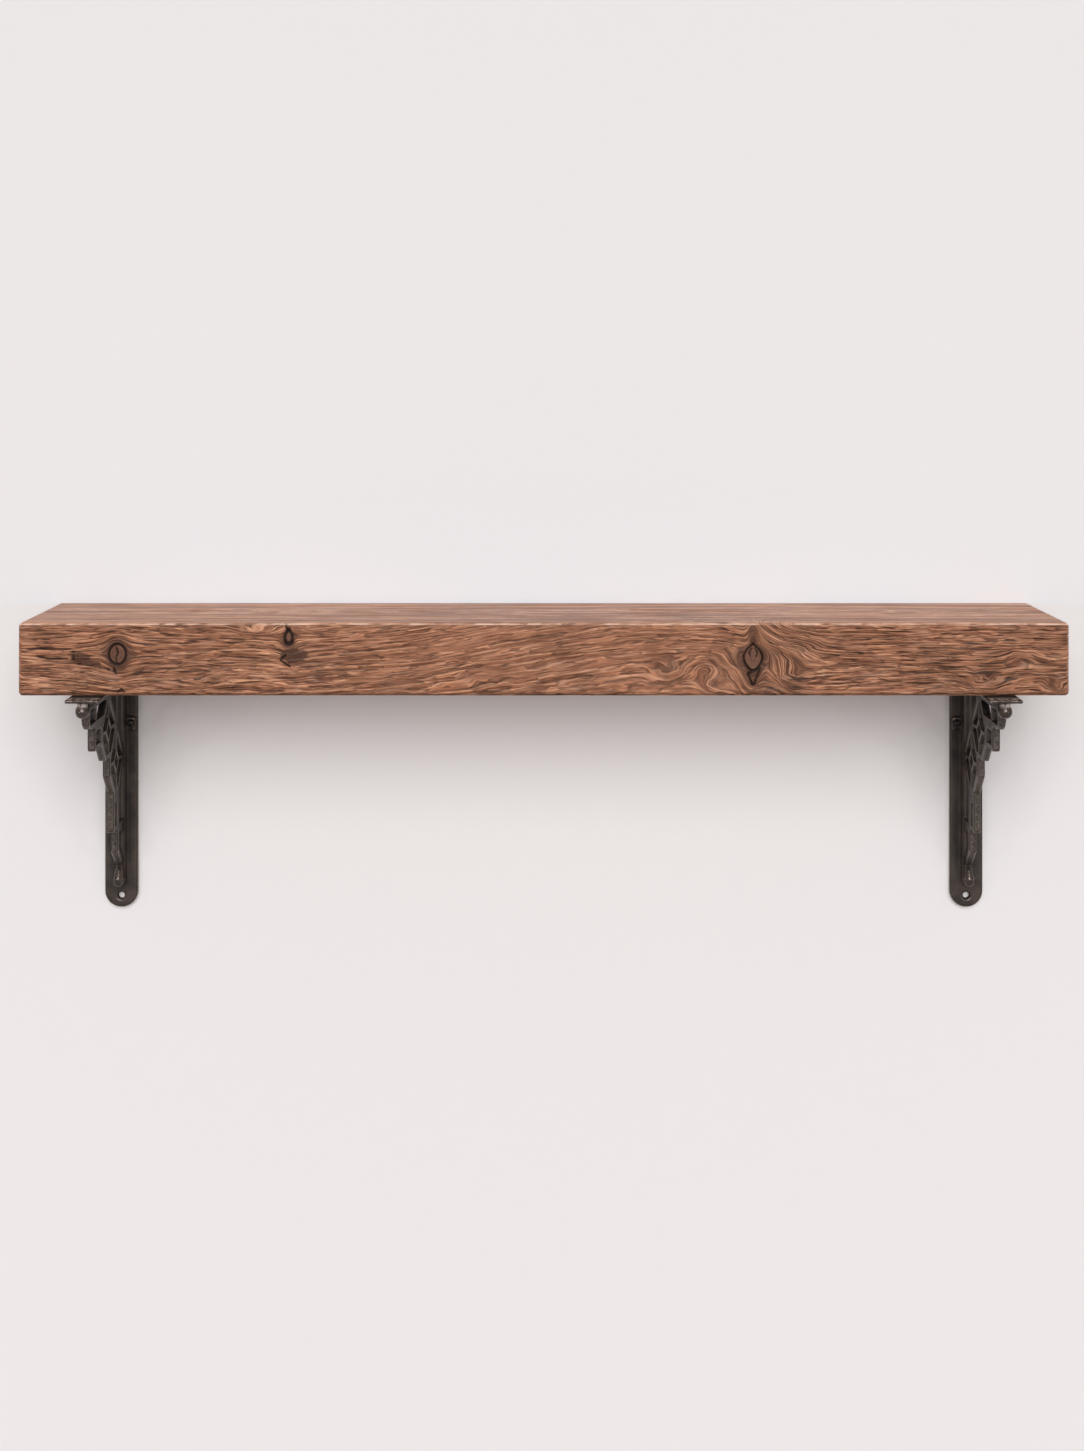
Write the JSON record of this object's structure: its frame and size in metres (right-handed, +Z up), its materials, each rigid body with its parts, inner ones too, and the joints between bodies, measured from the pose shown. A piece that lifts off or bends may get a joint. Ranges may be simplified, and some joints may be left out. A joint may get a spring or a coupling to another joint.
{
  "type": "bracket wall shelf",
  "caption": "Wall shelf: a thick stained timber board carried by pierced cast-iron brackets that screw to the wall.",
  "frame": {"origin": "middle of the board's back face, on the wall plane", "axes": "+X along the board, +Y into the wall, +Z up"},
  "size_m": [0.914, 0.204, 0.2851],
  "materials": {
    "stained_timber": "stained, wire-brushed, worn satin",
    "cast_iron": "black, rough cast",
    "blackened_screw": "blackened satin"
  },
  "bodies": {
    "root": {"shelf_board": "stained_timber", "bracket_left": "cast_iron", "bracket_right": "cast_iron", "wall_screw_left_inner": "blackened_screw", "wall_screw_left_outer": "blackened_screw", "wall_screw_right_inner": "blackened_screw", "wall_screw_right_outer": "blackened_screw", "shelf_screw_left_front": "blackened_screw", "shelf_screw_left_rear": "blackened_screw", "shelf_screw_right_front": "blackened_screw", "shelf_screw_right_rear": "blackened_screw"}
  },
  "joints": []
}
